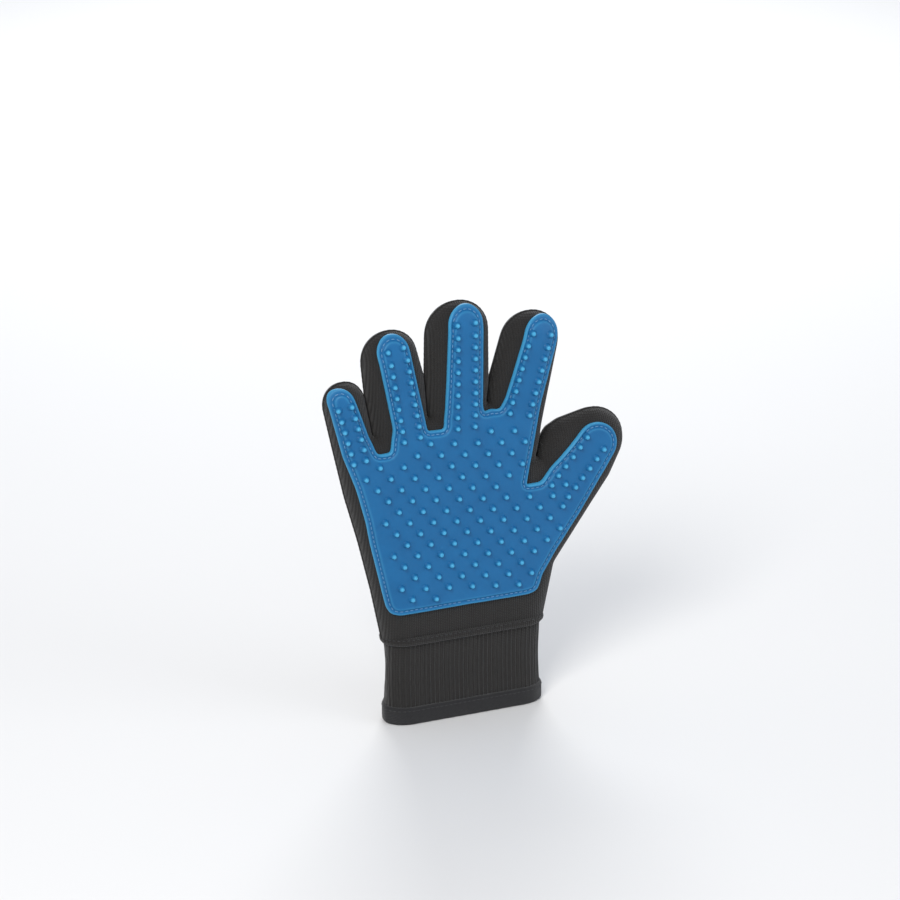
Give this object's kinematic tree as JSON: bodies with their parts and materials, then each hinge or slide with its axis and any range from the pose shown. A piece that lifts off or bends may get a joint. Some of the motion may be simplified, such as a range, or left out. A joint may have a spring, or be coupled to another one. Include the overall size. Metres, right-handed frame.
{
  "type": "grooming glove",
  "caption": "Right-hand grooming glove: knitted fabric body with a moulded rubber palm and finger strips covered in small cone nubs, and a cuff with a wrist strap.",
  "frame": {"origin": "centre of the cuff's mouth, midway between the planes of the glove's front and back at the cuff", "axes": "+Z from the cuff to the fingertips, -Y out of the rubber palm, +X towards the thumb"},
  "size_m": [0.1669, 0.0302, 0.23],
  "materials": {
    "palm_side_knit": "matte",
    "back_mesh": "matte",
    "digit_knit": "matte",
    "cuff_knit": "matte",
    "binding": "matte",
    "palm_rubber": "satin",
    "digit_rubber": "satin",
    "loop_pile": "matte",
    "strap_webbing": "matte",
    "hook_plastic": "matte"
  },
  "bodies": {
    "palm": {"hand_palm_fabric": "palm_side_knit", "hand_back_fabric": "back_mesh", "palm_rubber": "palm_rubber", "cuff_band": "cuff_knit", "cuff_binding": "binding", "loop_patch": "loop_pile", "strap_anchor": "strap_webbing", "pinky_root_flex_fabric": "digit_knit", "pinky_root_flex_rubber": "digit_rubber", "ring_root_flex_fabric": "digit_knit", "ring_root_flex_rubber": "digit_rubber", "middle_root_flex_fabric": "digit_knit", "middle_root_flex_rubber": "digit_rubber", "index_root_flex_fabric": "digit_knit", "index_root_flex_rubber": "digit_rubber", "thumb_root_flex_fabric": "digit_knit", "thumb_root_flex_rubber": "digit_rubber"},
    "pinky_base": {"pinky_base_fabric": "digit_knit", "pinky_mid_flex_fabric": "digit_knit", "pinky_base_rubber": "digit_rubber", "pinky_mid_flex_rubber": "digit_rubber"},
    "pinky_tip": {"pinky_tip_fabric": "digit_knit", "pinky_tip_rubber": "digit_rubber"},
    "ring_base": {"ring_base_fabric": "digit_knit", "ring_mid_flex_fabric": "digit_knit", "ring_base_rubber": "digit_rubber", "ring_mid_flex_rubber": "digit_rubber"},
    "ring_tip": {"ring_tip_fabric": "digit_knit", "ring_tip_rubber": "digit_rubber"},
    "middle_base": {"middle_base_fabric": "digit_knit", "middle_mid_flex_fabric": "digit_knit", "middle_base_rubber": "digit_rubber", "middle_mid_flex_rubber": "digit_rubber"},
    "middle_tip": {"middle_tip_fabric": "digit_knit", "middle_tip_rubber": "digit_rubber"},
    "index_base": {"index_base_fabric": "digit_knit", "index_mid_flex_fabric": "digit_knit", "index_base_rubber": "digit_rubber", "index_mid_flex_rubber": "digit_rubber"},
    "index_tip": {"index_tip_fabric": "digit_knit", "index_tip_rubber": "digit_rubber"},
    "thumb_base": {"thumb_base_fabric": "digit_knit", "thumb_mid_flex_fabric": "digit_knit", "thumb_base_rubber": "digit_rubber", "thumb_mid_flex_rubber": "digit_rubber"},
    "thumb_tip": {"thumb_tip_fabric": "digit_knit", "thumb_tip_rubber": "digit_rubber"},
    "strap": {"strap_tab": "strap_webbing", "hook_patch": "hook_plastic"}
  },
  "joints": [
    {"name": "pinky_root_bend", "type": "hinge", "parent": "palm", "child": "pinky_base", "pos_m": [-0.061, -0.005, 0.1625], "axis": [0.9751, 0, 0.2215], "range_deg": [-10, 55], "stiffness_Nm_per_rad": 0.03, "deforming": ["pinky_root_flex_fabric", "pinky_root_flex_rubber"]},
    {"name": "pinky_mid_bend", "type": "hinge", "parent": "pinky_base", "child": "pinky_tip", "pos_m": [-0.06421, -0.005, 0.17664], "axis": [0.9751, 0, 0.2215], "range_deg": [0, 55], "stiffness_Nm_per_rad": 0.03, "deforming": ["pinky_mid_flex_fabric", "pinky_mid_flex_rubber"]},
    {"name": "ring_root_bend", "type": "hinge", "parent": "palm", "child": "ring_base", "pos_m": [-0.0348, -0.005, 0.1668], "axis": [0.9885, 0, 0.1513], "range_deg": [-10, 55], "stiffness_Nm_per_rad": 0.03, "deforming": ["ring_root_flex_fabric", "ring_root_flex_rubber"]},
    {"name": "ring_mid_bend", "type": "hinge", "parent": "ring_base", "child": "ring_tip", "pos_m": [-0.03843, -0.005, 0.19052], "axis": [0.9885, 0, 0.1513], "range_deg": [0, 55], "stiffness_Nm_per_rad": 0.03, "deforming": ["ring_mid_flex_fabric", "ring_mid_flex_rubber"]},
    {"name": "middle_root_bend", "type": "hinge", "parent": "palm", "child": "middle_base", "pos_m": [-0.0031, -0.005, 0.1725], "axis": [1, 0, 0], "range_deg": [-10, 55], "stiffness_Nm_per_rad": 0.03, "deforming": ["middle_root_flex_fabric", "middle_root_flex_rubber"]},
    {"name": "middle_mid_bend", "type": "hinge", "parent": "middle_base", "child": "middle_tip", "pos_m": [-0.0031, -0.005, 0.1995], "axis": [1, 0, 0], "range_deg": [0, 55], "stiffness_Nm_per_rad": 0.03, "deforming": ["middle_mid_flex_fabric", "middle_mid_flex_rubber"]},
    {"name": "index_root_bend", "type": "hinge", "parent": "palm", "child": "index_base", "pos_m": [0.0302, -0.005, 0.1716], "axis": [0.9744, 0, -0.225], "range_deg": [-10, 55], "stiffness_Nm_per_rad": 0.03, "deforming": ["index_root_flex_fabric", "index_root_flex_rubber"]},
    {"name": "index_mid_bend", "type": "hinge", "parent": "index_base", "child": "index_tip", "pos_m": [0.03526, -0.005, 0.19352], "axis": [0.9744, 0, -0.225], "range_deg": [0, 55], "stiffness_Nm_per_rad": 0.03, "deforming": ["index_mid_flex_fabric", "index_mid_flex_rubber"]},
    {"name": "thumb_root_bend", "type": "hinge", "parent": "palm", "child": "thumb_base", "pos_m": [0.0568, -0.005, 0.1226], "axis": [0.7716, 0, -0.6361], "range_deg": [-10, 55], "stiffness_Nm_per_rad": 0.03, "deforming": ["thumb_root_flex_fabric", "thumb_root_flex_rubber"]},
    {"name": "thumb_mid_bend", "type": "hinge", "parent": "thumb_base", "child": "thumb_tip", "pos_m": [0.06761, -0.005, 0.13572], "axis": [0.7716, 0, -0.6361], "range_deg": [0, 55], "stiffness_Nm_per_rad": 0.03, "deforming": ["thumb_mid_flex_fabric", "thumb_mid_flex_rubber"]},
    {"name": "strap_opening", "type": "hinge", "parent": "palm", "child": "strap", "pos_m": [-0.024, 0.0166, 0.029], "axis": [0, 0, 1], "range_deg": [0, 150]}
  ]
}
